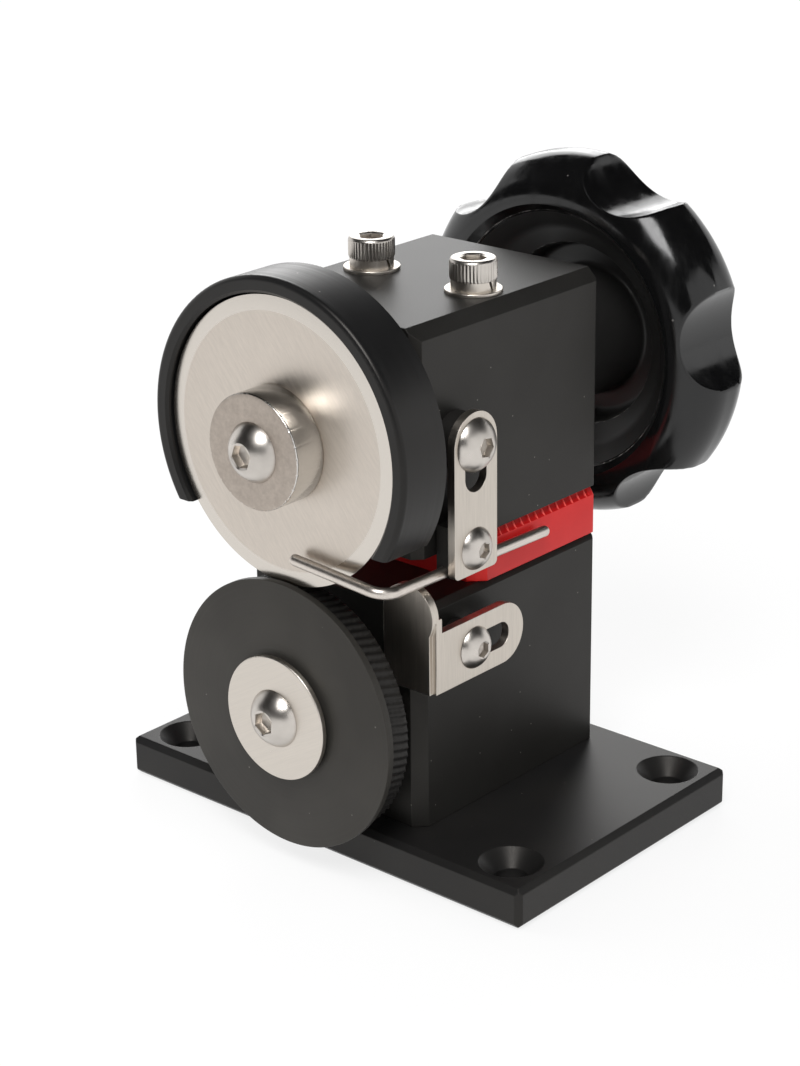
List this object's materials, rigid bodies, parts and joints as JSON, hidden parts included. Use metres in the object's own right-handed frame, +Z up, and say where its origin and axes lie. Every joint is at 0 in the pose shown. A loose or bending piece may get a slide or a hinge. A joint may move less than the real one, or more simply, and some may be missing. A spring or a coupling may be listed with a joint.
{
  "type": "leather splitting machine",
  "caption": "Bench-mounted hand leather splitter: a disc blade on a knob-turned spindle shears against a lower disc, with cup guard, wire guide and slotted edge fence.",
  "frame": {"origin": "middle of the rectangle of the four bench screw holes, on the underside of the base plate", "axes": "+X to the right as seen from the blade side, +Y towards the hand knob, +Z up"},
  "size_m": [0.093, 0.0987, 0.1115],
  "materials": {
    "base_black": "bead blasted, black anodised",
    "block_black": "bead blasted, black anodised",
    "red_anodised": "satin red anodised",
    "guard_black": "fine turned, black anodised",
    "spacer_black": "matte black",
    "screw_steel": "polished stainless",
    "washer_steel": "satin stainless",
    "bronze": "plain sintered bronze",
    "shaft_steel": "ground",
    "dark_steel": "black oxide",
    "blade_steel": "fine ground, bright bevel",
    "collar_steel": "turned, matte face",
    "bakelite": "glossy black",
    "brass": "turned",
    "anvil_black": "matte black",
    "roller_black": "matte black, knurled",
    "sheet_steel": "satin stainless",
    "wire_steel": "bright drawn"
  },
  "bodies": {
    "stand": {"base_plate": "base_black", "base_screws": "dark_steel", "lower_block": "block_black", "throat_plate": "red_anodised", "upper_block": "block_black", "cap_screws": "screw_steel", "spring_washers": "washer_steel", "flat_washers": "washer_steel", "upper_bushes": "bronze", "lower_bushes": "bronze", "blade_guard": "guard_black", "guard_screws": "screw_steel", "bracket_screw": "screw_steel", "bracket_spacer": "spacer_black", "fence_screw": "screw_steel", "fence_spacer": "spacer_black"},
    "blade_spindle": {"blade_shaft": "shaft_steel", "disc_blade": "blade_steel", "blade_hub": "shaft_steel", "blade_collar": "collar_steel", "blade_screw": "screw_steel", "hand_knob": "bakelite", "knob_insert": "brass", "grub_screws": "dark_steel"},
    "roller_spindle": {"roller_shaft": "shaft_steel", "anvil_disc": "anvil_black", "feed_roller": "roller_black", "roller_washer": "washer_steel", "roller_screw": "screw_steel", "thrust_washer": "shaft_steel", "circlip": "dark_steel"},
    "guide": {"guide_bracket": "sheet_steel", "clamp_screw": "screw_steel", "wire_clamp": "spacer_black"},
    "wire": {"guide_wire": "wire_steel"},
    "fence": {"edge_fence": "sheet_steel"}
  },
  "joints": [
    {"name": "knob_turn", "type": "hinge", "parent": "stand", "child": "blade_spindle", "pos_m": [0, 0, 0.0773], "axis": [0, 1, 0], "continuous": true},
    {"name": "roller_turn", "type": "hinge", "parent": "stand", "child": "roller_spindle", "pos_m": [0, 0, 0.0284], "axis": [0, 1, 0], "continuous": true},
    {"name": "bracket_slide", "type": "slide", "parent": "stand", "child": "guide", "axis": [0, 0, 1], "range_m": [0, 0.0035]},
    {"name": "wire_slide", "type": "slide", "parent": "guide", "child": "wire", "axis": [0, -0.9997, 0.0262], "range_m": [0, 0.01]},
    {"name": "fence_slide", "type": "slide", "parent": "stand", "child": "fence", "axis": [0, -1, 0], "range_m": [0, 0.004]}
  ]
}
